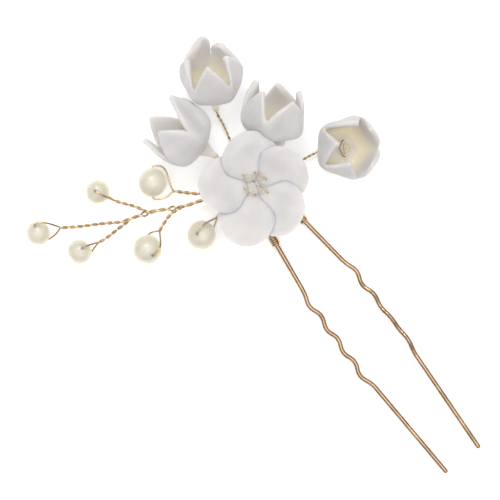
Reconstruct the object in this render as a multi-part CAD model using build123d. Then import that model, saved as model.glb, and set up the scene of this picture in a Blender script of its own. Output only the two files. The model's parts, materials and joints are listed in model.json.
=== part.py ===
from build123d import *
import math
import os

# A decorative hair pin, in millimetres, lying on its back on a table.
# +Y runs from the leg tips to the flowers, +X to the right seen from above, +Z up from the table.
# The origin is on the table, midway between the legs, where they come out from under the blossom.

# U-shaped pin of round wire
PIN_WIRE = 0.9
PIN_Z = 0.75  # height of the wire's axis, so that the binding wire round it rests on the table
CROWN_Y = 10.7
CROWN_HALF_WIDTH = 2.45
CROWN_BEND = 1.3
CRIMP_START_Y = -12.4
CRIMP_START_X = 5.3
CRIMP_FIRST_Y = -15.0
CRIMP_STEP = 2.95  # from one crest of the crimped stretch to the next on the other side
CRIMP_COUNT = 7
CRIMP_MIDDLE_X = 5.68  # middle of the first crest and the next
CRIMP_DRIFT = 0.06  # outward drift of the middle at each crest
CRIMP_SWING = 0.52  # corner of each crest, before its bend is rounded
CRIMP_TWIST = 80.0  # degrees by which the right leg's last crests are turned up out of the pin's plane
LEG_STRAIGHT_Y = -35.6
LEG_STRAIGHT_X = 5.45
TIP_Y = -59.75
TIP_X = 4.25

# Gold wire for stems, loops and bindings
WIRE = 0.3
TWIST = 0.6  # outside diameter of two strands twisted together
TRUNK_TWIST = 0.7
FIT_CLEARANCE = 0.05  # radial play of the wire in the bore of a pearl or bead

# Binding coils round the pin
COIL_PITCH = 0.45
LEFT_COIL_Y = -0.5
LEFT_COIL_TURNS = 5
RIGHT_COIL_Y = -0.2
RIGHT_COIL_TURNS = 4
CROWN_COIL_TURNS = 6

# Five-petalled blossom
BLOSSOM = Vector(-0.4, 11.6, 0)
HUB_BOTTOM_Z = 1.5
HUB_TOP_Z = 9.1
HUB_BOTTOM_RADIUS = 3.2
HUB_TOP_RADIUS = 4.0
PETAL_RADIUS = 5.9
PETAL_THICKNESS = 1.2
PETAL_BOWL_RADIUS = 15.0
PETAL_ROOT_Z = 8.5
PETAL_PITCH = 12.0  # degrees that a petal rises towards its rim
PETAL_TILT = 10.0  # degrees that a petal leans, so that one side lies over the next petal
PETAL_ANGLES = [60.8, -11.2, -78.2, -141.5, 138.5]  # clockwise; each lies over the one before

# Glass beads on wire staples in the blossom's centre
BEAD_RADIUS = 1.1
BEAD_GAP = 0.35  # between a bead and the clay under it
STAPLE_SIDE = 0.5  # from a bead to the staple's leg
STAPLE_ANGLE = -67.2
STAPLE_DEPTH = 1.6
CENTRE_BEADS = [(-0.3, 13.8), (2.0, 12.7), (-1.7, 11.5), (0.6, 10.3)]

# Tulip-shaped clay buds: length along the axis and radii
BUD_LENGTH = 12.8
BUD_FLOOR = 1.4
BUD_BASE_RADIUS = 1.9
BUD_SHOULDER = (6.0, 3.6)
BUD_BELLY = (6.4, 7.0)
BUD_MOUTH_RADIUS = 5.3
BUD_WALL = 1.1
BUD_NOTCH_BOTTOM = 5.8
NECK_LENGTH = 3.2
NECK_TIP_RADIUS = 0.55
BUD_BEAD_HEIGHT = 4.3
BUD_BEAD_RADIUS = 1.25
# name: base centre, azimuth and elevation of the axis, turn of the petals about it, neck length
BUDS = {
    "bud_1": (Vector(4.3, 31.4, 3.0), 60.0, 40.0, -21.0, NECK_LENGTH),
    "bud_2": (Vector(-3.8, 24.2, 5.1), 112.0, 16.0, 36.0, NECK_LENGTH),
    "bud_3": (Vector(9.4, 16.3, 4.35), 54.5, 22.0, 4.0, NECK_LENGTH),
    "bud_4": (Vector(18.0, 7.6, 3.3), -30.5, 70.0, -25.0, 2.2),
}
# way of each bud's stem, from the blossom's hub to the neck
BUD_STEM_WAYS = {
    "bud_1": [Vector(0.1, 13.9, 3.0), Vector(1.5, 22.4, 2.1), Vector(2.5, 26.0, 1.0)],
    "bud_2": [Vector(-1.0, 13.9, 3.0), Vector(-1.5, 18.0, 3.1)],
    "bud_3": [Vector(1.6, 12.4, 2.9), Vector(4.6, 12.0, 2.6)],
    "bud_4": [Vector(1.9, 11.2, 2.9), Vector(11.0, 10.3, 1.7), Vector(15.6, 9.6, 0.9)],
}

# Ivory pearls: centre, radius, axis of the bore, end of the twisted stem
LARGE_PEARL = 3.0
SMALL_PEARL = 2.5
LOOP_RISE = 0.75  # from a pearl's surface to the wire's turn above its hole
PEARLS = {
    "pearl_1": (Vector(-26.7, 30.7, 3.5), SMALL_PEARL, Vector(-0.14, 0.16, 0.98), Vector(-25.1, 27.1, 3.4)),
    "pearl_2": (Vector(-41.7, 31.3, 3.5), SMALL_PEARL, Vector(0.15, 0.61, 0.78), Vector(-37.5, 29.4, 3.5)),
    "pearl_3": (Vector(-37.2, 23.0, 3.5), SMALL_PEARL, Vector(0.41, 0.06, 0.91), Vector(-33.0, 22.1, 3.4)),
    "pearl_4": (Vector(-25.7, 14.9, 4.0), LARGE_PEARL, Vector(0.03, -0.59, 0.81), Vector(-21.5, 16.4, 3.7)),
    "pearl_5": (Vector(-16.5, 25.3, 4.0), LARGE_PEARL, Vector(0.60, 0.80, 0.0), Vector(-14.3, 21.4, 4.0)),
    "pearl_6": (Vector(-15.0, 10.5, 4.0), LARGE_PEARL, Vector(-0.21, 0.24, 0.95), Vector(-10.4, 11.4, 3.8)),
}
# way of each pearl's stem, from where it leaves the trunk or the hub to the end of its twist
PEARL_STEM_WAYS = {
    "pearl_1": [Vector(-21.1, 21.1, 3.2), Vector(-22.3, 23.5, 3.3), Vector(-23.9, 25.4, 3.4)],
    "pearl_2": [Vector(-26.5, 22.6, 3.2), Vector(-30.4, 25.1, 3.3), Vector(-33.9, 27.0, 3.4)],
    "pearl_3": [Vector(-25.9, 21.73, 3.2), Vector(-28.2, 22.0, 3.3), Vector(-30.6, 21.8, 3.3)],
    "pearl_4": [Vector(-15.2, 17.6, 3.1), Vector(-17.0, 17.9, 3.2), Vector(-19.2, 17.4, 3.4)],
    "pearl_5": [Vector(-2.3, 13.2, 3.0), Vector(-9.6, 16.9, 3.9), Vector(-12.3, 19.4, 4.1)],
    "pearl_6": [Vector(-2.9, 11.3, 2.9), Vector(-8.2, 12.1, 3.2)],
}
TRUNK_WAY = [
    Vector(-2.8, 12.3, 2.9),
    Vector(-9.9, 16.1, 2.9),
    Vector(-14.7, 17.4, 3.1),
    Vector(-18.8, 19.9, 3.2),
    Vector(-22.1, 21.3, 3.2),
    Vector(-26.5, 22.6, 3.2),
]
BEND_SHARE = 0.45  # part of the shorter run that a bend may take
LARGEST_BEND = 12.0


def direction(azimuth, elevation):
    """Unit vector at an azimuth from +X and an elevation from the table."""
    flat = math.cos(math.radians(elevation))
    return Vector(
        flat * math.cos(math.radians(azimuth)),
        flat * math.sin(math.radians(azimuth)),
        math.sin(math.radians(elevation)),
    )


def bend_radii(points):
    """The largest round bend that each corner's two runs allow."""
    radii = []
    for before, corner, after in zip(points, points[1:], points[2:]):
        turn = math.radians((corner - before).get_angle(after - corner))
        run = min((corner - before).length, (after - corner).length)
        radii.append(min(LARGEST_BEND, BEND_SHARE * run / math.tan(turn / 2)))
    return radii


def wire_along(points, radii, diameter):
    """Round wire along straight runs joined by round bends."""
    path = FilletPolyline(*points, radius=radii)
    section = Plane(origin=path @ 0, z_dir=path % 0) * Circle(diameter / 2)
    return sweep(section, path=path)


def leg_points(side):
    """Corners of one leg, from the crown to the tip; side is -1 for the left and 1 for the right."""
    points = [
        Vector(side * CROWN_HALF_WIDTH, CROWN_Y, PIN_Z),
        Vector(side * CRIMP_START_X, CRIMP_START_Y, PIN_Z),
    ]
    for i in range(CRIMP_COUNT):
        outward = 1 if i % 2 == 0 else -1
        twist = math.radians(min(CRIMP_TWIST, 20.0 * i)) if side > 0 else 0.0
        x = CRIMP_MIDDLE_X + CRIMP_DRIFT * i + outward * CRIMP_SWING * math.cos(twist)
        lift = CRIMP_SWING * math.sin(twist) * (1 + outward)
        points.append(Vector(side * x, CRIMP_FIRST_Y - CRIMP_STEP * i, PIN_Z + lift))
    points.append(Vector(side * LEG_STRAIGHT_X, LEG_STRAIGHT_Y, PIN_Z))
    points.append(Vector(side * TIP_X, TIP_Y, PIN_Z))
    return points


def u_pin():
    """The pin: one length of wire with a narrow crown and two crimped legs."""
    points = list(reversed(leg_points(-1))) + leg_points(1)
    radii = bend_radii(points)
    crown_corner = len(points) // 2 - 1
    radii[crown_corner - 1] = CROWN_BEND
    radii[crown_corner] = CROWN_BEND
    return wire_along(points, radii, PIN_WIRE)


def coil(middle, axis, turns, pitch):
    """Close turns of binding wire round the pin, each one a ring."""
    ring = Torus((PIN_WIRE + WIRE) / 2, WIRE / 2)
    steps = [(i - (turns - 1) / 2) * pitch for i in range(turns)]
    return Compound(children=[Plane(origin=middle + axis * step, z_dir=axis) * ring for step in steps])


def leg_coil(side, start_y, turns):
    """Binding wire round one leg, its lowest turn at start_y."""
    top = Vector(side * CROWN_HALF_WIDTH, CROWN_Y, PIN_Z)
    bottom = Vector(side * CRIMP_START_X, CRIMP_START_Y, PIN_Z)
    axis = (top - bottom).normalized()
    middle_y = start_y + (turns - 1) / 2 * COIL_PITCH
    middle = bottom + axis * ((middle_y - CRIMP_START_Y) / axis.Y)
    return coil(middle, axis, turns, COIL_PITCH)


def crown_coil():
    """Binding wire that holds the blossom's hub on the crown."""
    return coil(Vector(0, CROWN_Y, PIN_Z), Vector(1, 0, 0), CROWN_COIL_TURNS, WIRE * 1.1)


def hub():
    """Clay boss behind the petals, in which every stem is rooted."""
    height = HUB_TOP_Z - HUB_BOTTOM_Z
    centre = BLOSSOM + Vector(0, 0, (HUB_TOP_Z + HUB_BOTTOM_Z) / 2)
    return Pos(centre) * Cone(HUB_BOTTOM_RADIUS, HUB_TOP_RADIUS, height)


def petal_shell(angle):
    """A round bowl-shaped petal, before the hub and its neighbour are cut from it."""
    bowl = Sphere(PETAL_BOWL_RADIUS + PETAL_THICKNESS / 2) - Sphere(PETAL_BOWL_RADIUS - PETAL_THICKNESS / 2)
    outline = Pos(PETAL_RADIUS, 0, 0) * Cylinder(PETAL_RADIUS, 4 * PETAL_THICKNESS)
    petal = (Pos(PETAL_RADIUS, 0, PETAL_BOWL_RADIUS) * bowl) & outline
    seat = Pos(BLOSSOM + Vector(0, 0, PETAL_ROOT_Z)) * Rot(0, 0, angle)
    return seat * Rot(0, -PETAL_PITCH, 0) * Rot(PETAL_TILT, 0, 0) * petal


def ball(centre, radius, bore):
    """A pearl or bead with a straight bore through its middle."""
    hole = Cylinder(WIRE / 2 + FIT_CLEARANCE, 3 * radius)
    return Plane(origin=centre, z_dir=bore) * (Sphere(radius) - hole)


def loop_through(centre, radius, bore, twist_end):
    """The wire's way round a pearl or bead: out of the twist, through the bore and back."""
    towards = twist_end - centre
    out = (towards - bore * towards.dot(bore)).normalized()
    strand = bore * (WIRE / 2)
    inside_twist = twist_end + towards.normalized() * WIRE
    shoulder = out * (0.85 * radius)
    shoulder_rise = bore * (radius + 0.35)
    turn = bore * (radius + LOOP_RISE)
    points = [
        inside_twist + strand,
        centre + shoulder + shoulder_rise,
        centre + turn,
        centre - turn,
        centre + shoulder - shoulder_rise,
        inside_twist - strand,
    ]
    shoulder_bend = min(1.4, 0.5 * radius)
    return wire_along(points, [shoulder_bend, 0.5, 0.5, shoulder_bend], WIRE)


def twisted_stem(way, diameter):
    """Two strands twisted together, as a rod of the twist's outside diameter."""
    return wire_along(way, bend_radii(way), diameter)


def staple(centre):
    """Wire staple that carries one bead of the blossom's centre, its legs sunk in the hub."""
    along = direction(STAPLE_ANGLE, 0) * (BEAD_RADIUS + STAPLE_SIDE)
    down = Vector(0, 0, -(BEAD_RADIUS + BEAD_GAP + STAPLE_DEPTH))
    points = [centre - along + down, centre - along, centre + along, centre + along + down]
    return wire_along(points, [0.4, 0.4], WIRE)


def bud_plane(name):
    """Working plane of a bud: its origin at the base, its z along the axis."""
    base, azimuth, elevation = BUDS[name][:3]
    return Plane(origin=base, x_dir=direction(azimuth - 90, 0), z_dir=direction(azimuth, elevation))


def bud_cup(turn):
    """Hollow cup with five pointed lobes, standing on its base."""
    outer = Polyline((0, 0), (BUD_BASE_RADIUS, 0))
    outer += ThreePointArc((BUD_BASE_RADIUS, 0), (4.7, 1.3), BUD_SHOULDER)
    outer += ThreePointArc(BUD_SHOULDER, BUD_BELLY, (BUD_MOUTH_RADIUS, BUD_LENGTH))
    inner_mouth = (BUD_MOUTH_RADIUS - BUD_WALL, BUD_LENGTH)
    inner_belly = (BUD_BELLY[0] - BUD_WALL, BUD_BELLY[1])
    inner_foot = (1.6, BUD_FLOOR)
    inner_side = (BUD_SHOULDER[0] - BUD_WALL - 0.2, BUD_SHOULDER[1] + 0.5)
    inner = Line((BUD_MOUTH_RADIUS, BUD_LENGTH), inner_mouth)
    inner += ThreePointArc(inner_mouth, inner_belly, inner_side)
    inner += ThreePointArc(inner_side, (3.7, 2.1), inner_foot)
    inner += Polyline(inner_foot, (0, BUD_FLOOR), (0, 0))
    cup = revolve(Plane.XZ * make_face(outer + inner), Axis.Z)
    half_notch = BUD_BELLY[0] * math.sin(math.radians(36)) * 1.02
    top = BUD_LENGTH + 0.1
    notch = ThreePointArc((0, BUD_NOTCH_BOTTOM), (0.42 * half_notch, 10.2), (half_notch, top))
    notch += Line((half_notch, top), (-half_notch, top))
    notch += ThreePointArc((-half_notch, top), (-0.42 * half_notch, 10.2), (0, BUD_NOTCH_BOTTOM))
    wedge = extrude(Plane.YZ * make_face(notch), amount=2 * BUD_BELLY[0])
    for i in range(5):
        cup -= Rot(0, 0, turn + 36 + 72 * i) * wedge
    return cup


def bud_neck(length):
    """Tapered clay neck under a cup, reaching down from its base."""
    return Pos(0, 0, -length / 2) * Cone(NECK_TIP_RADIUS, BUD_BASE_RADIUS, length)


def bud_stem(name):
    """Twisted stem from the hub, through the neck and the cup's floor, with a loop for the bead."""
    plane = bud_plane(name)
    length = BUDS[name][4]
    bead = plane.from_local_coords(Vector(0, 0, BUD_BEAD_HEIGHT))
    twist_end = plane.from_local_coords(Vector(0, 0, BUD_BEAD_HEIGHT - BUD_BEAD_RADIUS - 1.2))
    below = plane.from_local_coords(Vector(0, 0, -length - 0.9))
    rod = twisted_stem(BUD_STEM_WAYS[name] + [below, twist_end], TWIST)
    return rod + loop_through(bead, BUD_BEAD_RADIUS, plane.x_dir, twist_end)


def build():
    """Every sub-part by name, each where it belongs."""
    parts = {"u_pin": u_pin()}
    parts["left_leg_wrap"] = leg_coil(-1, LEFT_COIL_Y, LEFT_COIL_TURNS)
    parts["right_leg_wrap"] = leg_coil(1, RIGHT_COIL_Y, RIGHT_COIL_TURNS)
    parts["crown_wrap"] = crown_coil()

    trunk = twisted_stem(TRUNK_WAY, TRUNK_TWIST)
    parts["sprig_trunk"] = trunk
    for name, (centre, radius, bore, twist_end) in PEARLS.items():
        axis = bore.normalized()
        rod = twisted_stem(PEARL_STEM_WAYS[name] + [twist_end], TWIST)
        parts[name] = ball(centre, radius, axis)
        parts[name + "_stem"] = (rod + loop_through(centre, radius, axis, twist_end)) - trunk

    for name, (base, azimuth, elevation, turn, length) in BUDS.items():
        plane = bud_plane(name)
        stem = bud_stem(name)
        bead = plane.from_local_coords(Vector(0, 0, BUD_BEAD_HEIGHT))
        parts[name] = plane * bud_cup(turn) - stem
        parts[name + "_neck"] = plane * bud_neck(length) - stem
        parts[name + "_stem"] = stem
        parts[name + "_bead"] = ball(bead, BUD_BEAD_RADIUS, plane.x_dir)

    staples = []
    for i, (x, y) in enumerate(CENTRE_BEADS):
        centre = Vector(x, y, HUB_TOP_Z + BEAD_GAP + BEAD_RADIUS)
        parts[f"centre_bead_{i + 1}"] = ball(centre, BEAD_RADIUS, direction(STAPLE_ANGLE, 0))
        staples.append(staple(centre))
    parts["centre_wire"] = Compound(children=staples)

    clay = hub()
    for rooted in [name for name in parts if name.endswith("_stem")] + ["sprig_trunk", "centre_wire"]:
        clay -= parts[rooted]
    parts["blossom_hub"] = clay
    shells = [petal_shell(angle) for angle in PETAL_ANGLES]
    eye = Pos(BLOSSOM) * Cylinder(HUB_TOP_RADIUS, 6 * HUB_TOP_Z)
    for i, shell in enumerate(shells):
        above = shells[(i + 1) % 5]
        cut = shell - eye - above
        parts[f"blossom_petal_{i + 1}"] = max(cut.solids(), key=lambda solid: solid.volume)
    return parts


os.makedirs("parts", exist_ok=True)
for part_name, solid in build().items():
    export_step(solid, f"parts/{part_name}.step")
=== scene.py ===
import json
import math

import bmesh
import bpy
from mathutils import Matrix, Vector, noise


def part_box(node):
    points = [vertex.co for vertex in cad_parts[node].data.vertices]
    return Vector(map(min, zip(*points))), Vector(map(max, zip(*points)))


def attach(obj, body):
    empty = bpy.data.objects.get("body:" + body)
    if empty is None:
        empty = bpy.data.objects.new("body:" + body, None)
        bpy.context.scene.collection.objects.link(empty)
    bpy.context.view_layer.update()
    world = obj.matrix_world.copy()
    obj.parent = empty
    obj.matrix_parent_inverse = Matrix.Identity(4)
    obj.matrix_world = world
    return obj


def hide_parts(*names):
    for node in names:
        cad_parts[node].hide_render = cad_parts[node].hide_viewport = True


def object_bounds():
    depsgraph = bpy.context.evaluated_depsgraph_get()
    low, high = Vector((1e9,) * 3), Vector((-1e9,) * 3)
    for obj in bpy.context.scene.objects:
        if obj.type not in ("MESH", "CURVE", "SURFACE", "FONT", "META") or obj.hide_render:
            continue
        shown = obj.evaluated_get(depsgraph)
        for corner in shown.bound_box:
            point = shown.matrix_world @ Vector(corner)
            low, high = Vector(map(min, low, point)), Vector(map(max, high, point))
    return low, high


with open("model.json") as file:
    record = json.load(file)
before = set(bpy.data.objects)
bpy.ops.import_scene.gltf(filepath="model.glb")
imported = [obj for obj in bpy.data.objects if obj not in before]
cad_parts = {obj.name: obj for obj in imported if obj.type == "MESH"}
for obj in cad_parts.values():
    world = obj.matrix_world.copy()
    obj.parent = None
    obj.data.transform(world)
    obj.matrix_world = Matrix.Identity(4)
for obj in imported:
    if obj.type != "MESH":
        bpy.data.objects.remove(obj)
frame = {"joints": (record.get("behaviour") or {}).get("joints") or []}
cad_low, cad_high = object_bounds()

# The script's own lengths are in millimetres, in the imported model's frame. MM turns them into metres.
MM = 0.001
JOINTS = {joint["child"]: joint for joint in frame["joints"]}


def box_mm(node):
    low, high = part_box(node)
    return Vector(low) / MM, Vector(high) / MM


# U-shaped pin: +Y runs from the leg tips to the flowers, and both legs are mirror images but for the crimps
PIN_RADIUS = 0.45
PIN_Z = 0.75
CROWN_Y = 10.7
CROWN_HALF_WIDTH = 2.45
CROWN_BEND = 1.3
LEG_TOP = Vector((CROWN_HALF_WIDTH, CROWN_Y, PIN_Z))
LEG_BOTTOM = Vector((5.3, -12.4, PIN_Z))
LEG_SHARES = (0.08, 0.5, 0.85)  # places of the corners between the leg's top and bottom
CRIMP_COUNT = 7
CRIMP_FIRST_Y = -15.0
CRIMP_STEP = 2.95
CRIMP_MIDDLE_X = 5.68
CRIMP_DRIFT = 0.06  # outward drift of the crimps' middle at each crest
CRIMP_SWING = 0.74  # from the middle to a crest's corner
CRIMP_TWIST = 20.0  # degrees by which each crest of the right leg is turned up further out of the pin's plane
CRIMP_TWIST_MAX = 80.0
CRIMP_LIFT = (0.52, 0.7)  # rise of a crest turned right up: for every crest, and more or less by its side
LEG_ENDS = [(5.45, -35.6), (5.35, -37.6), (4.25, -59.75 + 0.7 * PIN_RADIUS)]

# Wire
WIRE_RADIUS = 0.18
TRUNK_WIRE_RADIUS = WIRE_RADIUS * 1.1
BUD_WIRE_RADIUS = 0.13
STRAND_GAP = 0.015  # from a twist's middle to the side of each strand
TWIST_PITCH = 3.1
TRUNK_PITCH = 3.9
BUD_STEM_PITCH = 2.1
TUBE_SIDES = 12
TUBE_DOME = [(0.3, 0.87), (0.6, 0.55)]  # past the tube's end and radius, as shares of the tube's radius
TUBE_TIP = 0.7

# Binding wire, wound round the pin and pressed flat enough to stay above the table
WRAP_WIRE_RADIUS = 0.19
WRAP_CLEARANCE = 0.04
WRAP_TURNS = {"left_leg_wrap": 4.6, "right_leg_wrap": 3.6, "crown_wrap": 5.6}
COIL_FLATTENING = 0.81
COIL_START_ANGLE = 0.8
COIL_STEPS_PER_TURN = 28

# Bores: the hole's radius, and its lip as (radius as a share of the hole's, height as a share of the edge's)
BORE_RADIUS = 0.2
BORE_LIP = (1.08, 0.995)
BORE_DEPTH = 0.97
BORE_ROUNDING = 1.35  # the ball's surface ends this many times the hole's angle away from the bore

# Blossom
HUB_LOW, HUB_HIGH = box_mm("blossom_hub")
BLOSSOM = (HUB_LOW + HUB_HIGH) / 2
PETAL_ANGLES = [60.8, -11.2, -78.2, -141.5, 138.5]  # clockwise; each lies over the one before
PETAL_RADIUS = 5.9
PETAL_SIZES = [1.0, 1.0, 1.04, 1.07, 1.0]
PETAL_THICKNESS = 1.35
PETAL_BOWL_RADIUS = 15.0
PETAL_PITCH = 12.0
PETAL_TILT = 10.0
PETAL_ROOT_Z = 8.5
PETAL_TAPER = 0.10  # how much shorter a petal is towards the blossom's centre
PETAL_WAVE = 0.012  # waviness of its outline
PETAL_WIDENING = 1.02
STAPLE_SIDE = 0.3  # from a bead to the legs of its staple
STAPLE_DEPTH = 1.9  # from under a bead to the ends of its staple

# Buds: azimuth and elevation of the axis, and turn of the five lobes about it
BUDS = {
    "bud_1": (60.0, 40.0, -21.0),
    "bud_2": (112.0, 16.0, 28.0),
    "bud_3": (54.5, 22.0, 4.0),
    "bud_4": (-30.5, 70.0, -25.0),
}
# Where each lobe's tip ends: sideways, behind and along the axis, for the lobes in the order of their turn
BUD_TIPS = {
    "bud_1": [(3.6, -2.4, 12.0), (2.9, 4.6, 10.5), (-1.5, 5.4, 12.4), (-5.2, -1.4, 11.4), (-0.6, -5.2, 11.6)],
    "bud_2": [(7.0, 2.6, 9.0), (-0.2, 5.6, 12.2), (-5.3, 0.3, 12.2), (-2.0, -4.6, 11.3), (6.0, -2.6, 12.6)],
    "bud_3": [(4.9, -1.0, 11.2), (0.0, 3.6, 11.8), (-4.5, 2.8, 12.8), (-3.1, -3.6, 12.4), (3.4, -5.0, 10.0)],
    "bud_4": [(3.8, -2.2, 11.2), (4.9, 3.1, 11.6), (-3.4, 3.8, 11.8), (-5.0, 0.7, 11.5), (-0.9, -4.6, 11.2)],
}
# How far up each lobe stays wide on its two sides, from pointed (1) to full (4)
BUD_FULLNESS = {
    "bud_1": [(1.8, 1.2), (1.3, 3.6), (3.6, 1.4), (1.4, 2.0), (1.2, 1.2)],
    "bud_2": [(1.6, 1.4), (1.5, 1.6), (1.6, 1.6), (1.3, 1.5), (1.5, 1.5)],
    "bud_3": [(2.2, 2.2), (1.3, 1.3), (1.4, 1.4), (1.5, 1.2), (1.3, 1.5)],
    "bud_4": [(1.5, 1.5), (2.4, 2.8), (2.8, 2.4), (1.8, 1.8), (1.2, 1.2)],
}
BUD_LEANS = {"bud_3": -0.9}  # sideways, above the cup's foot
BUD_LENGTH = 12.8
BUD_NOTCH = 6.4
# Cup's outline, from its foot to the tips: along the axis, and radius before BUD_SWELL
BUD_PROFILE = [
    (0.0, 0.0), (0.75, 2.2), (1.2, 4.1), (2.2, 5.6), (4.0, 6.35), (6.5, 6.6), (9.0, 6.4), (11.2, 6.0),
    (BUD_LENGTH, 5.6),
]
BUD_SWELL = 1.08
BUD_WALL = 1.5
BUD_TIP_THINNING = 0.22  # share of the wall that is lost towards the tips
BUD_RIM_THINNING = 0.4  # and towards the edges of a lobe
BUD_BEAD_HEIGHT = 4.3
LOBE_ANGLE = 72.0
LOBE_BEND = 1.4  # power by which a lobe bends towards its tip: 1 is straight
CUP_ROWS = (0.0, 0.35, 0.75, 1.0, 1.2, 1.6, 2.2, 3.2, 4.3, 5.4)  # rows of vertices below the notches
LOBE_ROWS = 12
LOBE_COLUMNS = 12
CORNER_SHARPNESS = 0.85  # from a round cup (0) to a pentagon with flat sides (1)
CORNER_SOFTNESS = 30.0  # square degrees
NECK_LENGTHS = {"bud_1": 3.2, "bud_2": 3.2, "bud_3": 3.2, "bud_4": 2.2}
# Neck's outline from its tip up: radius, and depth under the cup as a share of the neck's length
NECK_PROFILE = [(0.42, 1.0), (0.55, 0.97), (0.66, 0.8), (0.82, 0.55), (1.1, 0.3), (1.45, 0.08)]
NECK_TOP = [(1.62, 0.2), (1.9, 0.62), (0.0, 0.9)]  # radius, and along the axis into the cup

# Ways of the wire stems: the same corners as the stems of the imported model
BUD_STEMS = {
    "bud_1": [(0.1, 13.9, 3.0), (1.5, 22.4, 2.1), (2.5, 26.0, 1.0)],
    "bud_2": [(-1.0, 13.9, 3.0), (-1.5, 18.0, 3.1)],
    "bud_3": [(1.6, 12.4, 2.9), (4.6, 12.0, 2.6)],
    "bud_4": [(1.9, 11.2, 2.9), (11.0, 10.3, 1.7), (15.6, 9.6, 0.9)],
}
PEARL_STEMS = {
    "pearl_1": [(-21.1, 21.1, 3.2), (-22.3, 23.5, 3.3), (-23.9, 25.4, 3.4), (-25.1, 27.1, 3.4)],
    "pearl_2": [(-26.5, 22.6, 3.2), (-30.4, 25.1, 3.3), (-33.9, 27.0, 3.4), (-37.5, 29.4, 3.5)],
    "pearl_3": [
        (-25.0, 22.1, 3.1), (-26.2, 21.85, 3.2), (-28.2, 22.0, 3.3), (-30.6, 21.8, 3.3), (-33.0, 22.1, 3.4),
    ],
    "pearl_4": [(-15.2, 17.6, 3.1), (-17.0, 17.9, 3.2), (-19.2, 17.4, 3.4), (-21.5, 16.4, 3.7)],
    "pearl_5": [(-2.3, 13.2, 3.0), (-9.6, 16.9, 3.9), (-12.3, 19.4, 4.1), (-14.3, 21.4, 4.0)],
    "pearl_6": [(-2.9, 11.3, 2.9), (-8.2, 12.1, 3.2), (-10.4, 11.4, 3.8)],
}
LOOP_BOWS = {"pearl_3": (-1.0, -1.4, 0.4)}  # how far a loop's way back is bent out
TRUNK = [
    (-2.8, 12.3, 2.9), (-9.9, 16.1, 2.9), (-14.7, 17.4, 3.1), (-18.8, 19.9, 3.2), (-22.1, 21.3, 3.2),
    (-26.5, 22.6, 3.2),
]
# Where branches leave the trunk: place along it, reach, and how far its strands part
TRUNK_OPENINGS = ((14.7, 0.85, 0.3), (20.6, 0.95, 0.3))

# Camera, straight above the pin and turned about the line of sight
VIEW_WIDTH = 103.5
VIEW_CENTRE = Vector((-8.89, 1.94, 4.0))
LENS = 200.0
SENSOR = 36.0
CAMERA_ROLL = -37.2
FLOOR_GAP = 0.02


def vectors(points):
    return [Vector(point) for point in points]


def direction(azimuth, elevation):
    flat = math.cos(math.radians(elevation))
    a = math.radians(azimuth)
    return Vector((flat * math.cos(a), flat * math.sin(a), math.sin(math.radians(elevation))))


def smoothstep(low, high, value):
    t = min(1.0, max(0.0, (value - low) / (high - low)))
    return t * t * (3 - 2 * t)


def interpolate(table, x):
    """Smooth curve through a table's points, by a cubic between neighbours."""
    xs = [p[0] for p in table]
    i = max(0, min(len(xs) - 2, sum(1 for v in xs if v <= x) - 1))
    slopes = []
    for j in (i, i + 1):
        a, b = max(0, j - 1), min(len(xs) - 1, j + 1)
        slopes.append((table[b][1] - table[a][1]) / (table[b][0] - table[a][0]))
    width = xs[i + 1] - xs[i]
    t = min(1.0, max(0.0, (x - xs[i]) / width))
    start, end = table[i][1], table[i + 1][1]
    return (
        (2 * t**3 - 3 * t**2 + 1) * start + (t**3 - 2 * t**2 + t) * width * slopes[0]
        + (3 * t**2 - 2 * t**3) * end + (t**3 - t**2) * width * slopes[1]
    )


# ---------------------------------------------------------------- paths and tubes


def smooth_path(points, step=0.12):
    """Quadratic B-spline with these control points, sampled about every step."""
    ends = [(a + b) / 2 for a, b in zip(points[1:-2], points[2:-1])]
    starts = [points[0]] + ends
    stops = ends + [points[-1]]
    path = [points[0].copy()]
    for start, control, stop in zip(starts, points[1:-1], stops):
        count = max(3, int(((control - start).length + (stop - control).length) / step))
        for k in range(1, count + 1):
            t = k / count
            path.append(start * (1 - t) ** 2 + control * 2 * t * (1 - t) + stop * t**2)
    return path


def frames_along(path):
    """Tangent and two normals at each point, carried along without turning about the path."""
    before = path[:1] + path[:-1]
    after = path[1:] + path[-1:]
    tangents = [(b - a).normalized() for a, b in zip(before, after)]
    normal = tangents[0].orthogonal().normalized()
    frames = []
    for tangent in tangents:
        normal = (normal - tangent * normal.dot(tangent)).normalized()
        frames.append((tangent, normal, tangent.cross(normal)))
    return frames


def tube(path, radius, sides=TUBE_SIDES):
    """Vertices and faces of a closed round tube with domed ends."""
    frames = frames_along(path)
    backwards = frames[0][0] * -radius
    forwards = frames[-1][0] * radius
    rings = [(path[0] + backwards * past, frames[0], share * radius) for past, share in reversed(TUBE_DOME)]
    rings += [(point, axes, radius) for point, axes in zip(path, frames)]
    rings += [(path[-1] + forwards * past, frames[-1], share * radius) for past, share in TUBE_DOME]
    vertices = []
    for centre, (_, normal, side), r in rings:
        for k in range(sides):
            angle = 2 * math.pi * k / sides
            vertices.append(centre + (normal * math.cos(angle) + side * math.sin(angle)) * r)
    faces = []
    for i in range(len(rings) - 1):
        for k in range(sides):
            j = (k + 1) % sides
            faces.append((i * sides + k, i * sides + j, (i + 1) * sides + j, (i + 1) * sides + k))
    first, last = len(vertices), len(vertices) + 1
    vertices.append(path[0] + backwards * TUBE_TIP)
    vertices.append(path[-1] + forwards * TUBE_TIP)
    top = (len(rings) - 1) * sides
    for k in range(sides):
        j = (k + 1) % sides
        faces.append((first, j, k))
        faces.append((last, top + k, top + j))
    return vertices, faces


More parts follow.
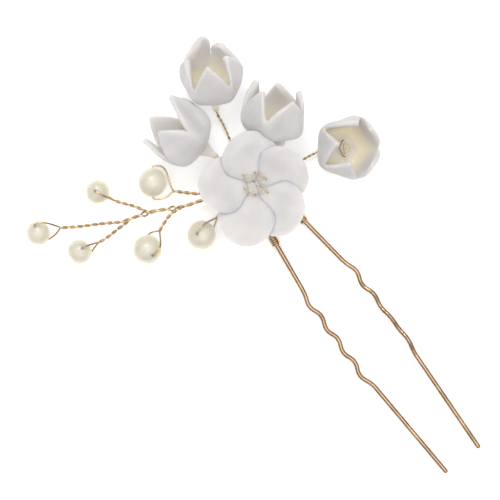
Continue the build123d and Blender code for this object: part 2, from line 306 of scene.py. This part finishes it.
def two_strands(route, pitch, offset, end_towards, openings=()):
    """Two paths wound round a route, half a turn apart, that part sideways along end_towards at its end.

    openings are (place, reach, gap): there the strands stand apart, as where a branch leaves the twist."""
    frames = frames_along(route)
    lengths = [0.0]
    for a, b in zip(route, route[1:]):
        lengths.append(lengths[-1] + (b - a).length)
    _, normal, side = frames[-1]
    end_angle = math.atan2(end_towards.dot(side), end_towards.dot(normal))
    phase = end_angle - 2 * math.pi * lengths[-1] / pitch
    strands = ([], [])
    for point, (_, normal, side), s in zip(route, frames, lengths):
        angle = 2 * math.pi * s / pitch + phase
        gap = offset
        for place, reach, wide in openings:
            gap += wide * math.exp(-(((s - place) / reach) ** 2))
        out = normal * math.cos(angle) + side * math.sin(angle)
        strands[0].append(point + out * gap)
        strands[1].append(point - out * gap)
    return strands


# ---------------------------------------------------------------- mesh objects


def mesh_piece(name, parts, material):
    """One object from (vertices, faces) pairs in millimetres."""
    vertices = []
    faces = []
    for part_vertices, part_faces in parts:
        start = len(vertices)
        vertices += [v * MM for v in part_vertices]
        faces += [tuple(start + i for i in face) for face in part_faces]
    mesh = bpy.data.meshes.new(name)
    mesh.from_pydata(vertices, [], faces)
    clean = bmesh.new()
    clean.from_mesh(mesh)
    bmesh.ops.recalc_face_normals(clean, faces=clean.faces)
    clean.to_mesh(mesh)
    clean.free()
    mesh.polygons.foreach_set("use_smooth", [True] * len(mesh.polygons))
    mesh.materials.append(material)
    piece = bpy.data.objects.new(name, mesh)
    bpy.context.scene.collection.objects.link(piece)
    return piece


def weld(piece, distance_mm):
    """Joins vertices that lie together, such as a petal's two skins at its rim."""
    mesh = bmesh.new()
    mesh.from_mesh(piece.data)
    bmesh.ops.remove_doubles(mesh, verts=mesh.verts, dist=distance_mm * MM)
    bmesh.ops.recalc_face_normals(mesh, faces=mesh.faces)
    mesh.to_mesh(piece.data)
    mesh.free()


def apply_modifiers(piece):
    """Turns a piece's modifiers into its mesh."""
    bpy.context.view_layer.update()
    graph = bpy.context.evaluated_depsgraph_get()
    made = bpy.data.meshes.new_from_object(piece.evaluated_get(graph))
    piece.modifiers.clear()
    piece.data = made
    made.polygons.foreach_set("use_smooth", [True] * len(made.polygons))


def subdivide(piece, levels):
    modifier = piece.modifiers.new("subdivision", "SUBSURF")
    modifier.levels = levels
    modifier.render_levels = levels
    apply_modifiers(piece)


def soften(piece, rounds):
    """Rounds a piece's edges, as a finger rubs down soft clay."""
    axes = {"use_axis_x": True, "use_axis_y": True, "use_axis_z": True}
    clay = bmesh.new()
    clay.from_mesh(piece.data)
    for _ in range(rounds):
        bmesh.ops.smooth_vert(clay, verts=clay.verts, factor=0.5, **axes)
    clay.to_mesh(piece.data)
    clay.free()


def roughen(piece, size_mm, depth_mm, seed):
    """Low hand-made unevenness: each vertex moves a little along its normal."""
    offset = Vector((seed * 7.3, seed * 3.1, seed * 5.7))
    moved = []
    for vertex in piece.data.vertices:
        height = noise.noise(vertex.co / (size_mm * MM) + offset)
        moved.extend(vertex.co + vertex.normal * height * depth_mm * MM)
    piece.data.vertices.foreach_set("co", moved)
    piece.data.update()


def set_tint_and_painted_glow(piece, weight):
    """Stores at each vertex how much of the clay's warm tint it takes, for the material to read: real beige
    on the necks, painted light on the petals, hub and buds.
    """
    attribute = piece.data.attributes.new("tint_and_painted_glow", "FLOAT", "POINT")
    values = [weight(vertex.co / MM, vertex.normal) for vertex in piece.data.vertices]
    attribute.data.foreach_set("value", values)


def place(piece, nodes, body, slot):
    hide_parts(*nodes)
    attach(piece, body)


# ---------------------------------------------------------------- materials


def new_material(name):
    material = bpy.data.materials.new(name)
    material.use_nodes = True
    nodes = material.node_tree.nodes
    return material, nodes, material.node_tree.links, nodes["Principled BSDF"]


def add_noise(nodes, links, scale, detail):
    coordinates = nodes.new("ShaderNodeTexCoord")
    texture = nodes.new("ShaderNodeTexNoise")
    texture.inputs["Scale"].default_value = scale
    texture.inputs["Detail"].default_value = detail
    links.new(coordinates.outputs["Object"], texture.inputs["Vector"])
    return texture


def add_ramp(nodes, links, source, stops):
    ramp = nodes.new("ShaderNodeValToRGB")
    while len(ramp.color_ramp.elements) < len(stops):
        ramp.color_ramp.elements.new(0.5)
    for element, (position, colour) in zip(ramp.color_ramp.elements, stops):
        element.position = position
        element.color = (*colour, 1.0)
    links.new(source, ramp.inputs["Fac"])
    return ramp


def add_bump(nodes, links, shader, source, strength, distance_mm):
    bump = nodes.new("ShaderNodeBump")
    bump.inputs["Strength"].default_value = strength
    bump.inputs["Distance"].default_value = distance_mm * MM
    links.new(source, bump.inputs["Height"])
    links.new(bump.outputs["Normal"], shader.inputs["Normal"])


def add_roughness(nodes, links, shader, source, low, high):
    """Roughness that varies between low and high with a noise."""
    rough = nodes.new("ShaderNodeMapRange")
    rough.inputs["To Min"].default_value = low
    rough.inputs["To Max"].default_value = high
    links.new(source, rough.inputs["Value"])
    links.new(rough.outputs["Result"], shader.inputs["Roughness"])


def clay_material(name, cool, plain, warm):
    """Matte air-dry clay: fine grain, faint mottling, and a warm colour mixed in by a weight at each vertex,
    which is real beige on the necks and painted light on the white clay.
    """
    material, nodes, links, shader = new_material(name)
    mottle = add_noise(nodes, links, scale=260.0, detail=4.0)
    base = add_ramp(nodes, links, mottle.outputs["Fac"], [(0.35, cool), (0.65, plain)])
    # Weight of the warm colour at each vertex: painted light (glow and lifted shade) on the petals, hub and
    # buds, real beige on the necks.
    tint_and_painted_glow = nodes.new("ShaderNodeAttribute")
    tint_and_painted_glow.attribute_name = "tint_and_painted_glow"
    mix = nodes.new("ShaderNodeMix")
    mix.data_type = "RGBA"
    mix.inputs["B"].default_value = (*warm, 1.0)
    links.new(tint_and_painted_glow.outputs["Fac"], mix.inputs["Factor"])
    links.new(base.outputs["Color"], mix.inputs["A"])
    links.new(mix.outputs["Result"], shader.inputs["Base Color"])
    grain = add_noise(nodes, links, scale=3200.0, detail=6.0)
    add_roughness(nodes, links, shader, grain.outputs["Fac"], low=0.55, high=0.78)
    shader.inputs["Specular IOR Level"].default_value = 0.35
    shader.inputs["Subsurface Weight"].default_value = 0.8
    shader.inputs["Subsurface Radius"].default_value = (1.0, 0.9, 0.75)
    shader.inputs["Subsurface Scale"].default_value = 0.0022
    shader.inputs["Sheen Weight"].default_value = 0.1
    add_bump(nodes, links, shader, grain.outputs["Fac"], strength=0.25, distance_mm=0.05)
    return material


def gold_material(name, bright, dark, roughness):
    """Drawn gold-plated wire: colour drifts slightly, with fine drawing marks."""
    material, nodes, links, shader = new_material(name)
    drift = add_noise(nodes, links, scale=420.0, detail=3.0)
    colour = add_ramp(nodes, links, drift.outputs["Fac"], [(0.3, dark), (0.7, bright)])
    links.new(colour.outputs["Color"], shader.inputs["Base Color"])
    shader.inputs["Metallic"].default_value = 1.0
    shader.inputs["Specular Tint"].default_value = (0.12, 0.07, 0.04, 1.0)
    marks = add_noise(nodes, links, scale=5200.0, detail=5.0)
    add_roughness(nodes, links, shader, marks.outputs["Fac"], low=roughness - 0.07, high=roughness + 0.09)
    add_bump(nodes, links, shader, marks.outputs["Fac"], strength=0.12, distance_mm=0.02)
    return material


def pearl_material():
    """Ivory nacre lacquer: cream with faint clouding under a clear coat."""
    material, nodes, links, shader = new_material("ivory_pearl")
    cloud = add_noise(nodes, links, scale=300.0, detail=3.0)
    colour = add_ramp(
        nodes, links, cloud.outputs["Fac"], [(0.3, (0.57, 0.54, 0.45)), (0.7, (0.62, 0.595, 0.525))]
    )
    links.new(colour.outputs["Color"], shader.inputs["Base Color"])
    grain = add_noise(nodes, links, scale=2400.0, detail=4.0)
    add_roughness(nodes, links, shader, grain.outputs["Fac"], low=0.26, high=0.36)
    shader.inputs["Subsurface Weight"].default_value = 1.0
    shader.inputs["Subsurface Radius"].default_value = (1.0, 0.92, 0.7)
    shader.inputs["Subsurface Scale"].default_value = 0.006
    shader.inputs["Specular IOR Level"].default_value = 0.5
    shader.inputs["Coat Weight"].default_value = 0.8
    shader.inputs["Coat Roughness"].default_value = 0.1
    shader.inputs["Sheen Weight"].default_value = 1.0
    shader.inputs["Sheen Roughness"].default_value = 0.5
    shader.inputs["Sheen Tint"].default_value = (1.0, 0.9, 0.62, 1.0)
    add_bump(nodes, links, shader, grain.outputs["Fac"], strength=0.05, distance_mm=0.02)
    return material


def glass_material():
    """Clear pressed glass with faint striae."""
    material, nodes, links, shader = new_material("clear_glass")
    shader.inputs["Transmission Weight"].default_value = 1.0
    shader.inputs["IOR"].default_value = 1.3
    shader.inputs["Alpha"].default_value = 0.22
    striae = add_noise(nodes, links, scale=900.0, detail=2.0)
    tint = add_ramp(
        nodes, links, striae.outputs["Fac"], [(0.3, (0.98, 0.97, 0.94)), (0.7, (1.0, 1.0, 0.99))]
    )
    links.new(tint.outputs["Color"], shader.inputs["Base Color"])
    add_roughness(nodes, links, shader, striae.outputs["Fac"], low=0.01, high=0.04)
    add_bump(nodes, links, shader, striae.outputs["Fac"], strength=0.05, distance_mm=0.05)
    return material


def floor_material():
    """Plain white studio paper, with a faint glow that keeps it white under the soft light."""
    material, nodes, links, shader = new_material("white_paper")
    fibre = add_noise(nodes, links, scale=90.0, detail=5.0)
    colour = add_ramp(
        nodes, links, fibre.outputs["Fac"], [(0.3, (0.955, 0.955, 0.955)), (0.7, (0.965, 0.965, 0.965))]
    )
    links.new(colour.outputs["Color"], shader.inputs["Base Color"])
    shader.inputs["Roughness"].default_value = 0.95
    shader.inputs["Specular IOR Level"].default_value = 0.0
    shader.inputs["Emission Color"].default_value = (1.0, 1.0, 1.0, 1.0)
    shader.inputs["Emission Strength"].default_value = 0.25
    return material


# The warm colour here is lighter than the clay: where the weight asks for it, it is painted light, a glow
# that lifts shade.
WHITE_CLAY = clay_material(
    "white_clay", cool=(0.585, 0.572, 0.575), plain=(0.635, 0.620, 0.620), warm=(0.84, 0.785, 0.62)
)
# The necks' clay is pale in itself, but this colour is lighter still: painted light that lifts the shade the
# petals cast on the necks.
PALE_CLAY_WITH_PAINTED_LIGHT = clay_material(
    "pale_clay", cool=(0.86, 0.80, 0.74), plain=(0.90, 0.84, 0.78), warm=(0.72, 0.60, 0.45)
)
PIN_GOLD = gold_material("pin_gold", bright=(0.49, 0.33, 0.205), dark=(0.31, 0.2, 0.115), roughness=0.17)
WIRE_GOLD = gold_material("wire_gold", bright=(0.73, 0.545, 0.325), dark=(0.50, 0.355, 0.205), roughness=0.15)
PEARL = pearl_material()
GLASS = glass_material()


# ---------------------------------------------------------------- pin and bindings


def leg_corners(side):
    """Corners of one leg from the crown to the tip: crimped in the middle, straight below.

    side is 1 for the right leg and -1 for the left."""
    corners = [LEG_TOP] + [LEG_TOP.lerp(LEG_BOTTOM, share) for share in LEG_SHARES] + [LEG_BOTTOM]
    for i in range(CRIMP_COUNT):
        outward = 1 if i % 2 == 0 else -1
        twist = math.radians(min(CRIMP_TWIST_MAX, CRIMP_TWIST * i)) if side > 0 else 0.0
        x = CRIMP_MIDDLE_X + CRIMP_DRIFT * i + outward * CRIMP_SWING * math.cos(twist)
        lift = math.sin(twist) * (CRIMP_LIFT[0] + CRIMP_LIFT[1] * outward)
        corners.append(Vector((x, CRIMP_FIRST_Y - CRIMP_STEP * i, PIN_Z + lift)))
    corners += [Vector((x, y, PIN_Z)) for x, y in LEG_ENDS]
    return [Vector((side * corner.x, corner.y, corner.z)) for corner in corners]


def make_pin():
    crown = [Vector((side * CROWN_BEND, CROWN_Y, PIN_Z)) for side in (-1, 1)]
    corners = list(reversed(leg_corners(-1))) + crown + leg_corners(1)
    wire = tube(smooth_path(corners, step=0.25), PIN_RADIUS, sides=20)
    piece = mesh_piece("u_pin_wire", [wire], PIN_GOLD)
    place(piece, ["u_pin"], "pin", "pin_wire")


def coil_path(start, end, turns, radius):
    """Flattened helix round the line from start to end."""
    axis = (end - start).normalized()
    side = axis.cross(Vector((0, 0, 1))).normalized()
    up = side.cross(axis)
    path = []
    count = int(turns * COIL_STEPS_PER_TURN)
    for k in range(count + 1):
        share = k / count
        angle = 2 * math.pi * turns * share + COIL_START_ANGLE
        turned = side * math.cos(angle) + up * (math.sin(angle) * COIL_FLATTENING)
        path.append(start.lerp(end, share) + turned * radius)
    return path


def make_wrap(node, start, end):
    path = coil_path(start, end, WRAP_TURNS[node], PIN_RADIUS + WRAP_WIRE_RADIUS + WRAP_CLEARANCE)
    piece = mesh_piece(node + "_coil", [tube(path, WRAP_WIRE_RADIUS)], WIRE_GOLD)
    place(piece, [node], "pin", "gold_wire")


def make_wraps():
    for node, side in (("left_leg_wrap", -1), ("right_leg_wrap", 1)):
        low, high = box_mm(node)
        ends = []
        for y in (low.y + WIRE_RADIUS, high.y - WIRE_RADIUS):
            share = (CROWN_Y - y) / (CROWN_Y - LEG_BOTTOM.y)
            point = LEG_TOP.lerp(LEG_BOTTOM, share)
            ends.append(Vector((side * point.x, y, PIN_Z)))
        make_wrap(node, ends[0], ends[1])
    low, high = box_mm("crown_wrap")
    y = (low.y + high.y) / 2
    start = Vector((low.x + WIRE_RADIUS, y, PIN_Z))
    end = Vector((high.x - WIRE_RADIUS, y, PIN_Z))
    make_wrap("crown_wrap", start, end)


# ---------------------------------------------------------------- pearls, beads and their wire


def bored_ball(centre, radius, bore, hole, rows=40, columns=56):
    """A ball with a straight hole through it, its edges softly rounded."""
    side = bore.orthogonal().normalized()
    other = bore.cross(side)
    lip = math.asin(hole / radius) * BORE_ROUNDING
    profile = []
    for i in range(rows + 1):
        polar = lip + (math.pi - 2 * lip) * i / rows
        profile.append((radius * math.sin(polar), radius * math.cos(polar)))
    edge = radius * math.cos(lip)
    lip_radius, lip_height = hole * BORE_LIP[0], edge * BORE_LIP[1]
    profile.insert(0, (lip_radius, lip_height))
    profile.append((lip_radius, -lip_height))
    profile += [(hole, -edge * BORE_DEPTH), (hole, 0.0), (hole, edge * BORE_DEPTH)]
    vertices = []
    for distance, height in profile:
        for k in range(columns):
            angle = 2 * math.pi * k / columns
            out = side * math.cos(angle) + other * math.sin(angle)
            vertices.append(centre + bore * height + out * distance)
    faces = []
    count = len(profile)
    for i in range(count):
        following = (i + 1) % count
        for k in range(columns):
            j = (k + 1) % columns
            faces.append((i * columns + k, i * columns + j, following * columns + j, following * columns + k))
    return vertices, faces


def ball_facts(node):
    """Centre, radius and bore axis of a pearl or bead, from its joint and its box."""
    joint = JOINTS[node]
    low, high = box_mm(node)
    radius = max(high - low) / 2
    return Vector(joint["pos_m"]) / MM, radius, Vector(joint["axis"]).normalized()


def loop_path(centre, radius, bore, start, stop, bow):
    """From one strand of the twist, round the ball, straight through its bore and back to the other strand.

    bow moves the shoulder of the way back, where the wire is bent out sideways."""
    towards = (start + stop) / 2 - centre
    out = (towards - bore * towards.dot(bore)).normalized()
    parting = bore * 0.5
    inwards = out * -0.3
    shoulder = out * (0.88 * radius)
    high = bore * (radius + 0.3)
    turn = bore * (radius + 0.55)
    beside = out * 0.1
    inside = bore * (radius * 0.9)
    corners = [
        start,
        start + parting + inwards,
        centre + shoulder + high,
        centre + turn + beside,
        centre + inside,
        centre - inside,
        centre - turn + beside,
        centre + shoulder - high + bow,
        stop - parting + inwards,
        stop,
    ]
    return smooth_path(corners)


def make_ball(node, material, slot):
    centre, radius, bore = ball_facts(node)
    piece = mesh_piece(node + "_body", [bored_ball(centre, radius, bore, BORE_RADIUS)], material)
    place(piece, [node], node, slot)


def looped_stem(way, ball, pitch, wire_radius):
    """Twisted pair of strands that parts at its end and goes through a pearl or bead."""
    centre, radius, bore = ball_facts(ball)
    route = smooth_path(way, step=0.1)
    first, second = two_strands(route, pitch, wire_radius + STRAND_GAP, bore)
    bow = Vector(LOOP_BOWS.get(ball, (0, 0, 0)))
    loop = loop_path(centre, radius, bore, first[-1], second[-1], bow)
    path = first[:-1] + loop + list(reversed(second[:-1]))
    return tube(path, wire_radius)


def make_pearls():
    for node, way in PEARL_STEMS.items():
        make_ball(node, PEARL, "pearl")
        wire = looped_stem(vectors(way), node, TWIST_PITCH, WIRE_RADIUS)
        piece = mesh_piece(node + "_twist", [wire], WIRE_GOLD)
        place(piece, [node + "_stem"], "pin", "gold_wire")


def make_trunk():
    route = smooth_path(vectors(TRUNK), step=0.1)
    strands = two_strands(route, TRUNK_PITCH, WIRE_RADIUS + STRAND_GAP, Vector((0, 0, 1)), TRUNK_OPENINGS)
    parts = [tube(strand, TRUNK_WIRE_RADIUS) for strand in strands]
    piece = mesh_piece("sprig_trunk_twist", parts, WIRE_GOLD)
    place(piece, ["sprig_trunk"], "pin", "gold_wire")


# ---------------------------------------------------------------- blossom


def petal_height(x, y, r, outward):
    """Middle surface of a petal: bowl-shaped, its rim rolled down, and flatter towards the centre.

    r is 0 in the petal's middle and 1 at its rim, and outward is 1 at its far end and -1 at the
    blossom's centre."""
    share = smoothstep(-1.0, 0.6, outward)
    bowl = ((x - PETAL_RADIUS) ** 2 + y**2) / (2 * PETAL_BOWL_RADIUS) * (0.2 + 0.8 * share)
    roll = (0.5 + 0.35 * share) * smoothstep(0.45, 1.0, r) ** 1.6
    return bowl - roll


def make_petal(index, angle, size_share):
    rings, columns = 18, 72
    top = []
    bottom = []
    for i in range(rings + 1):
        r = math.sin(math.pi / 2 * i / rings)
        half = PETAL_THICKNESS / 2 * max(0.0, 1 - r**4) ** 0.65
        for k in range(columns):
            a = 2 * math.pi * k / columns
            inwards = (1 - math.cos(a)) / 2
            wave = PETAL_WAVE * math.cos(3 * a + index)
            reach = PETAL_RADIUS * (1 - PETAL_TAPER * inwards**3 + wave)
            x = PETAL_RADIUS + r * reach * math.cos(a)
            y = r * reach * math.sin(a) * PETAL_WIDENING
            z = petal_height(x, y, r, math.cos(a))
            x *= size_share
            top.append(Vector((x, y, z + half)))
            bottom.append(Vector((x, y, z - half)))
    vertices = top + bottom
    size = len(top)
    faces = []
    for i in range(rings):
        for k in range(columns):
            j = (k + 1) % columns
            corners = (i * columns + k, i * columns + j, (i + 1) * columns + j, (i + 1) * columns + k)
            faces.append((corners[0], *reversed(corners[1:])))
            faces.append(tuple(size + corner for corner in corners))
    turn = (
        Matrix.Rotation(math.radians(angle), 4, "Z")
        @ Matrix.Rotation(-math.radians(PETAL_PITCH), 4, "Y")
        @ Matrix.Rotation(math.radians(PETAL_TILT), 4, "X")
    )
    origin = Vector((BLOSSOM.x, BLOSSOM.y, PETAL_ROOT_Z))
    vertices = [turn @ v + origin for v in vertices]
    piece = mesh_piece(f"blossom_petal_{index}_clay", [(vertices, faces)], WHITE_CLAY)
    weld(piece, distance_mm=0.02)
    roughen(piece, size_mm=4.0, depth_mm=0.16, seed=index)
    roughen(piece, size_mm=1.1, depth_mm=0.03, seed=index + 5)

    def tint_and_painted_glow(point, normal):
        """Painted light: warmer and lighter towards the blossom's centre, and most on faces turned up towards
        the light.
        """
        away = math.hypot(point.x - BLOSSOM.x, point.y - BLOSSOM.y)
        return 0.16 * (1 - smoothstep(1.5, 6.5, away)) * (0.4 + 0.6 * max(0.0, normal.z))

    set_tint_and_painted_glow(piece, tint_and_painted_glow)
    place(piece, [f"blossom_petal_{index}"], "pin", "white_clay")


def lathe(profile, origin, axis, side, columns=56):
    """Closed solid turned about an axis, from (radius, height) points between two poles on it."""
    other = axis.cross(side)
    vertices = [origin + axis * profile[0][1]]
    for distance, height in profile[1:-1]:
        for k in range(columns):
            angle = 2 * math.pi * k / columns
            out = side * math.cos(angle) + other * math.sin(angle)
            vertices.append(origin + axis * height + out * distance)
    vertices.append(origin + axis * profile[-1][1])
    faces = []
    rows = len(profile) - 2
    last = len(vertices) - 1
    for k in range(columns):
        j = (k + 1) % columns
        faces.append((0, 1 + j, 1 + k))
        faces.append((last, 1 + (rows - 1) * columns + k, 1 + (rows - 1) * columns + j))
        for i in range(rows - 1):
            a = 1 + i * columns
            faces.append((a + k, a + j, a + columns + j, a + columns + k))
    return vertices, faces


def make_hub():
    height = HUB_HIGH.z - HUB_LOW.z
    origin = Vector((BLOSSOM.x, BLOSSOM.y, HUB_LOW.z))
    foot = [(0.0, 0.0), (2.2, 0.0), (2.95, 0.12), (3.2, 0.5)]
    waist = [(3.25, 1.6), (3.0, 3.2), (3.1, 4.8), (3.6, 6.2)]
    top = [(4.3, height - 0.75), (4.2, height - 0.15), (3.2, height - 0.05), (0.0, height - 0.25)]
    boss = lathe(foot + waist + top, origin, axis=Vector((0, 0, 1)), side=Vector((1, 0, 0)))
    piece = mesh_piece("blossom_hub_clay", [boss], WHITE_CLAY)
    subdivide(piece, levels=1)
    roughen(piece, size_mm=2.5, depth_mm=0.2, seed=3)
    roughen(piece, size_mm=0.8, depth_mm=0.05, seed=4)

    def tint_and_painted_glow(point, normal):
        """A warm tint all over, stronger on top under the beads: there it is painted light that lifts the
        shade of the beads and their staples.
        """
        return 0.22 if point.z > HUB_HIGH.z - 1 else 0.12

    set_tint_and_painted_glow(piece, tint_and_painted_glow)
    place(piece, ["blossom_hub"], "pin", "pale_clay")


def make_centre():
    """Glass beads of the blossom's centre and the wire staples that carry them."""
    staples = []
    for index in range(1, 5):
        node = f"centre_bead_{index}"
        make_ball(node, GLASS, "clear_glass")
        centre, radius, bore = ball_facts(node)
        down = Vector((0, 0, -(radius + STAPLE_DEPTH)))
        first, last = (centre + bore * (side * (radius + STAPLE_SIDE)) for side in (-1, 1))
        inside = bore * 0.4
        corners = [first + down, first + down * 0.3, first, centre - inside]
        corners += [centre + inside, last, last + down * 0.3, last + down]
        staples.append(tube(smooth_path(corners), BUD_WIRE_RADIUS))
    piece = mesh_piece("centre_wire_staples", staples, WIRE_GOLD)
    place(piece, ["centre_wire"], "pin", "gold_wire")


def make_blossom():
    for index, (angle, size_share) in enumerate(zip(PETAL_ANGLES, PETAL_SIZES), start=1):
        make_petal(index, angle, size_share)
    make_hub()
    make_centre()


# ---------------------------------------------------------------- buds


def bud_facts(name):
    """Base, axis and sideways direction of a bud, from the place of its bead."""
    azimuth, elevation, _ = BUDS[name]
    axis = direction(azimuth, elevation)
    across = direction(azimuth - 90, 0)
    bead, _, _ = ball_facts(name + "_bead")
    return bead - axis * BUD_BEAD_HEIGHT, axis, across


def lobe_width(t, fullness):
    """Width of a lobe as a share of its fifth of the cup, where t runs from the notch (0) to the tip (1)."""
    return max(0.10, (1 - t**fullness) ** 0.78)


def bud_radius(s, off_middle):
    """Outer radius of a cup: a rounded pentagon, flat across each lobe and cornered at each notch.

    s is the height along the axis, and off_middle the angle from the lobe's middle, in degrees."""
    half = LOBE_ANGLE / 2
    from_corner = half - off_middle
    soft = math.sqrt(from_corner**2 + CORNER_SOFTNESS) - math.sqrt(CORNER_SOFTNESS)
    flat = math.cos(math.radians(half)) / math.cos(math.radians(half - soft))
    sharp = CORNER_SHARPNESS * smoothstep(0.0, 2.6, s)
    return interpolate(BUD_PROFILE, s) * BUD_SWELL * (1 - sharp + sharp * flat)


def lobe_skin(name, lobe):
    """Outer skin of one lobe and its fifth of the cup: vertices, faces, and the wall's share at each."""
    base, axis, across = bud_facts(name)
    depth = axis.cross(across)
    tip_across, tip_depth, tip_along = BUD_TIPS[name][lobe]
    keel = math.radians(BUDS[name][2] + LOBE_ANGLE * lobe)
    reach = bud_radius(tip_along, 0.0)
    bend = Vector((tip_across - reach * math.cos(keel), tip_depth - reach * math.sin(keel)))
    lean = BUD_LEANS.get(name, 0.0)
    columns = LOBE_COLUMNS
    rows = [(s, 0.0) for s in CUP_ROWS]
    for i in range(LOBE_ROWS):
        t = math.sin(math.pi / 2 * i / (LOBE_ROWS - 1))  # from the notch (0) to the tip (1)
        rows.append((BUD_NOTCH + (tip_along - BUD_NOTCH) * t, t))
    vertices = []
    walls = []
    for s, t in rows:
        for k in range(columns + 1):
            sideways = 2 * k / columns - 1
            fullness = BUD_FULLNESS[name][lobe][0 if sideways < 0 else 1]
            off = LOBE_ANGLE / 2 * sideways * lobe_width(t, fullness)
            r = bud_radius(s, abs(off))
            angle = keel + math.radians(off)
            leaning = lean * smoothstep(1.5, 4.5, s) * (1 - t)
            x = r * math.cos(angle) + bend.x * t**LOBE_BEND + leaning
            y = r * math.sin(angle) + bend.y * t**LOBE_BEND
            vertices.append(base + axis * s + across * x + depth * y)
            rim = smoothstep(0.45, 1.0, abs(sideways)) * smoothstep(0.0, 0.2, t)
            tip = smoothstep(6.0, BUD_LENGTH, s)
            walls.append((1.0 - BUD_TIP_THINNING * tip) * (1.0 - BUD_RIM_THINNING * rim))
    faces = []
    for i in range(len(rows) - 1):
        for k in range(columns):
            a = i * (columns + 1) + k
            faces.append((a, a + 1, a + columns + 2, a + columns + 1))
    return vertices, faces, walls


def make_bud(name, seed):
    base, axis, _ = bud_facts(name)
    skins = [lobe_skin(name, lobe) for lobe in range(len(BUD_TIPS[name]))]
    walls = [share for skin in skins for share in skin[2]]
    piece = mesh_piece(name + "_clay", [skin[:2] for skin in skins], WHITE_CLAY)
    group = piece.vertex_groups.new(name="wall")
    for index, share in enumerate(walls):
        group.add([index], share, "REPLACE")
    weld(piece, distance_mm=0.03)
    wall = piece.modifiers.new("wall", "SOLIDIFY")
    wall.thickness = BUD_WALL * MM
    wall.offset = -1.0
    wall.use_even_offset = True
    wall.vertex_group = "wall"
    apply_modifiers(piece)
    subdivide(piece, levels=1)
    soften(piece, rounds=12)
    subdivide(piece, levels=1)
    roughen(piece, size_mm=4.0, depth_mm=0.22, seed=seed)
    roughen(piece, size_mm=1.2, depth_mm=0.04, seed=seed + 9)

    def tint_and_painted_glow(point, normal):
        """Painted glow: warmer and lighter deep inside the cup, standing in for light that passes from wall
        to wall and lifting the shade in there.
        """
        along = (point - base).dot(axis)
        outward = (point - base - axis * along).normalized()
        inside = smoothstep(-0.1, 0.5, -normal.dot(outward))
        return inside * (0.04 + 0.7 * (1 - smoothstep(3.2, 7.8, along)))

    set_tint_and_painted_glow(piece, tint_and_painted_glow)
    place(piece, [name], "pin", "white_clay")


def make_neck(name, length):
    base, axis, across = bud_facts(name)
    profile = [(0.0, -length)] + [(radius, -length * share) for radius, share in NECK_PROFILE] + NECK_TOP
    piece = mesh_piece(name + "_neck_clay", [lathe(profile, base, axis, across, columns=40)], PALE_CLAY_WITH_PAINTED_LIGHT)
    subdivide(piece, levels=1)
    roughen(piece, size_mm=1.5, depth_mm=0.1, seed=2)

    def tint_and_painted_glow(point, normal):
        """Beige towards the tip, where the clay is rubbed thin over the wire."""
        return smoothstep(-length * 0.6, -length, (point - base).dot(axis))

    set_tint_and_painted_glow(piece, tint_and_painted_glow)
    place(piece, [name + "_neck"], "pin", "pale_clay")


def make_buds():
    for seed, name in enumerate(BUDS, start=1):
        base, axis, _ = bud_facts(name)
        length = NECK_LENGTHS[name]
        make_bud(name, seed)
        make_neck(name, length)
        make_ball(name + "_bead", GLASS, "clear_glass")
        way = vectors(BUD_STEMS[name]) + [base + axis * s for s in (-length - 0.9, -0.2, 1.85)]
        wire = looped_stem(way, name + "_bead", BUD_STEM_PITCH, BUD_WIRE_RADIUS)
        piece = mesh_piece(name + "_twist", [wire], WIRE_GOLD)
        place(piece, [name + "_stem"], "pin", "gold_wire")


# ---------------------------------------------------------------- studio


def add_area_light(name, position, target, size, power):
    """A round soft light. Its place and size are in metres."""
    data = bpy.data.lights.new(name, "AREA")
    data.shape = "DISK"
    data.size = size
    data.energy = power
    light = bpy.data.objects.new(name, data)
    light.location = position
    light.rotation_euler = (target - position).to_track_quat("-Z", "Y").to_euler()
    bpy.context.scene.collection.objects.link(light)


def make_camera():
    data = bpy.data.cameras.new("camera")
    data.lens = LENS
    data.sensor_width = SENSOR
    data.clip_start = 0.01
    data.clip_end = 10.0
    camera = bpy.data.objects.new("camera", data)
    distance = VIEW_WIDTH * LENS / SENSOR
    camera.location = (VIEW_CENTRE + Vector((0, 0, distance))) * MM
    camera.rotation_euler = (0, 0, math.radians(CAMERA_ROLL))
    bpy.context.scene.collection.objects.link(camera)
    bpy.context.scene.camera = camera


def make_floor():
    sheet = bmesh.new()
    bmesh.ops.create_grid(sheet, x_segments=8, y_segments=8, size=1.2)
    mesh = bpy.data.meshes.new("studio_floor")
    sheet.to_mesh(mesh)
    sheet.free()
    mesh.materials.append(floor_material())
    floor = bpy.data.objects.new("studio_floor", mesh)
    floor.location.z = cad_low[2] - FLOOR_GAP * MM
    bpy.context.scene.collection.objects.link(floor)


def make_sky():
    """A white dome overhead that darkens towards the horizon."""
    world = bpy.data.worlds.new("studio")
    world.use_nodes = True
    nodes, links = world.node_tree.nodes, world.node_tree.links
    coordinates = nodes.new("ShaderNodeTexCoord")
    split = nodes.new("ShaderNodeSeparateXYZ")
    links.new(coordinates.outputs["Generated"], split.inputs["Vector"])
    dome = add_ramp(
        nodes, links, split.outputs["Z"],
        [(0.0, (0.06, 0.055, 0.05)), (0.53, (0.20, 0.195, 0.19)), (0.68, (1.42, 1.42, 1.42))],
    )
    links.new(dome.outputs["Color"], nodes["Background"].inputs["Color"])
    bpy.context.scene.world = world


def make_lights():
    middle = VIEW_CENTRE * MM
    add_area_light("key", Vector((0.13, 0.30, 0.50)), middle, size=0.20, power=0.85)
    add_area_light("top", Vector((0.02, -0.06, 0.62)), middle, size=0.22, power=0.34)


make_camera()
make_floor()
make_sky()
make_lights()
bpy.context.scene.view_settings.view_transform = "Standard"
bpy.context.scene.view_settings.look = "None"
make_pin()
make_wraps()
make_trunk()
make_pearls()
make_buds()
make_blossom()
